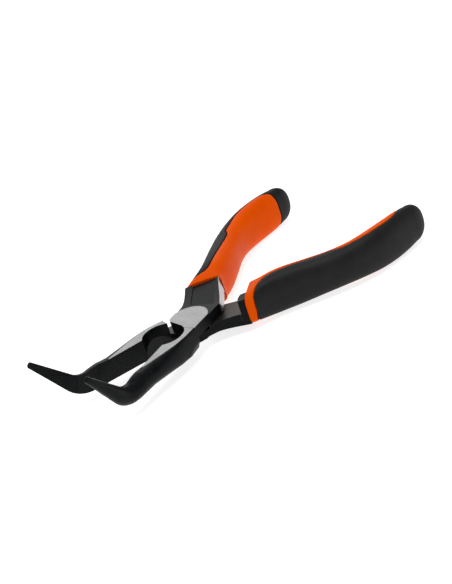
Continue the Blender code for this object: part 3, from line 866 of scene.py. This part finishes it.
def placed(body, side, name, bearer, nodes):
    """Puts a finished body at its place in the open tool and hands it to the frame."""
    mirror = Matrix.Scale(-1, 4, (1, 0, 0)) if side < 0 else Matrix.Identity(4)
    open_up = Matrix.Rotation(side * OPEN_ANGLE, 4, "Z")
    matrix = Matrix.Translation(PIVOT) @ open_up @ mirror @ Matrix.Scale(MM, 4)
    form = bmesh.new()
    form.from_mesh(body.data)
    form.transform(matrix)
    if side < 0:
        bmesh.ops.reverse_faces(form, faces=form.faces)
    form.to_mesh(body.data)
    form.free()
    body.name = name
    body.data.name = name
    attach(body, bearer)
    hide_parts(*nodes)


def smooth(body, angle):
    """Smooth shading up to this angle, with each corner's normal led by its largest faces."""
    body.data.shade_smooth()
    body.data.set_sharp_from_angle(angle=math.radians(angle))
    weigh = body.modifiers.new("weigh normals", "WEIGHTED_NORMAL")
    weigh.keep_sharp = True


def on_panel(place, side):
    """True for a place on the floor of the forged hollow."""
    right, left = (Vector((*corner, HOLLOW_FRONT_Z)) for corner in HOLLOW_FRONT)
    rear = Vector((*HOLLOW_REAR[0], HOLLOW_REAR_Z))
    across = (left - right).cross(rear - right).normalized()
    return abs((Vector((place.x, place.y, side * place.z)) - right).dot(across)) < 0.06


def steel_faces(body, side):
    """Gives each face of a half its finish by where it lies. The rest stays BLACK."""
    beyond = Vector((EDGE_AHEAD.y, -EDGE_AHEAD.x, 0))
    for face in body.data.polygons:
        place, normal = face.center, face.normal
        height = abs(place.z)
        facing_out = normal.z * place.z > 0 and abs(normal.z) > 0.96
        on_boss = BOSS_CENTRE_Y - BOSS_RADIUS - 0.1 < place.y < 13
        if facing_out and on_boss and abs(height - HALF_THICK) < 0.06:
            face.material_index = GROUND
        elif facing_out and abs(height - jaw_top(place.y)) < 0.03 and 8 < place.y < GROUND_END_Y:
            face.material_index = GROUND
        elif abs(normal.z) > 0.9 and on_panel(place, side):
            face.material_index = HOLLOW
        elif abs(normal.z) > 0.96 and height < 0.4:
            face.material_index = LAP
        elif normal.dot(beyond) > 0.8 and place.y < -9 and side * place.z > 0.2:
            face.material_index = FLANK


half_finishes = {
    BLACK: phosphated(),
    GROUND: ground("ground steel", (0.33, 0.33, 0.333), "x"),
    HOLLOW: rough_forged(),
    LAP: lapped(),
    FLANK: ground("ground flank", (0.44, 0.45, 0.455), "z"),
}
orange, black = moulded_orange(), elastomer()

for side, title in ((1, "upper"), (-1, "lower")):
    half = forging(side)
    for finish in half_finishes.values():
        half.data.materials.append(finish)
    steel_faces(half, side)
    smooth(half, 32)
    placed(half, side, f"{title}_forging", title, [f"{title}_half"])
    shell = core()
    shell.data.materials.append(orange)
    smooth(shell, 60)
    placed(shell, side, f"{title}_orange_body", title, [f"{title}_handle_body"])
    pad = grip()
    pad.data.materials.append(black)
    smooth(pad, 60)
    placed(pad, side, f"{title}_overmould", title, [f"{title}_handle_grip"])

pin = rivet()
pin.data.materials.append(ground("rivet steel", (0.42, 0.42, 0.43), "y"))
smooth(pin, 30)
placed(pin, 1, "rivet", "upper", ["pivot_rivet"])
coil = spring()
coil.data.materials.append(wire_steel())
smooth(coil, 60)
placed(coil, 1, "spring", "upper", ["return_spring"])


# Stage, light and camera


def floor():
    """A wide pale floor under the tool."""
    form = bmesh.new()
    bmesh.ops.create_grid(form, x_segments=8, y_segments=8, size=4)
    made = body_of("studio_floor", form)
    made.location.z = cad_bounds[0][2] - 0.0002
    paint = bpy.data.materials.new("studio floor")
    paint.use_nodes = True
    base = paint.node_tree.nodes["Principled BSDF"]
    base.inputs["Base Color"].default_value = (0.5, 0.5, 0.5, 1)
    base.inputs["Roughness"].default_value = 0.9
    base.inputs["Emission Color"].default_value = (1, 1, 1, 1)
    base.inputs["Emission Strength"].default_value = 0.8
    made.data.materials.append(paint)


def softbox(name, place, target, size, power):
    """A square area light that looks at a point."""
    light = bpy.data.lights.new(name, "AREA")
    light.size = size
    light.energy = power
    made = bpy.data.objects.new(name, light)
    made.location = place
    made.rotation_euler = (Vector(place) - Vector(target)).to_track_quat("Z", "Y").to_euler()
    bpy.context.scene.collection.objects.link(made)


def surround(strength):
    """An even white world that lights by this strength and is seen as plain white."""
    world = bpy.data.worlds.new("studio")
    world.use_nodes = True
    nodes, links = world.node_tree.nodes, world.node_tree.links
    sky = nodes["Background"]
    sky.inputs["Color"].default_value = (1, 1, 1, 1)
    seen = nodes.new("ShaderNodeLightPath")
    level = nodes.new("ShaderNodeMath")
    level.operation = "MULTIPLY_ADD"
    level.inputs[1].default_value = 1 - strength
    level.inputs[2].default_value = strength
    links.new(seen.outputs["Is Camera Ray"], level.inputs[0])
    links.new(level.outputs[0], sky.inputs["Strength"])
    bpy.context.scene.world = world


def camera():
    """Looks down from the front left with a long lens, a little rolled."""
    right = Vector((-0.678616, -0.673729, -0.292523))
    down = Vector((-0.126318, 0.499384, -0.857123))
    ahead = right.cross(down)
    lens = bpy.data.cameras.new("camera")
    lens.sensor_fit = "HORIZONTAL"
    lens.sensor_width = 36
    lens.lens = 151.33
    lens.clip_start = 0.05
    lens.clip_end = 20
    made = bpy.data.objects.new("camera", lens)
    turn = Matrix((right, -down, -ahead)).transposed().to_4x4()
    made.matrix_world = Matrix.Translation(PIVOT + Vector((-0.633956, 0.455428, 0.374910))) @ turn
    bpy.context.scene.collection.objects.link(made)
    bpy.context.scene.camera = made


floor()
softbox("overhead", (-0.1, 0.0, 1.2), (0, 0, 0), 0.7, 10)
softbox("back", (0.95, -0.72, 0.60), (0, 0, 0), 0.9, 3.2)
surround(0.35)
bpy.context.scene.view_settings.view_transform = "Standard"
camera()
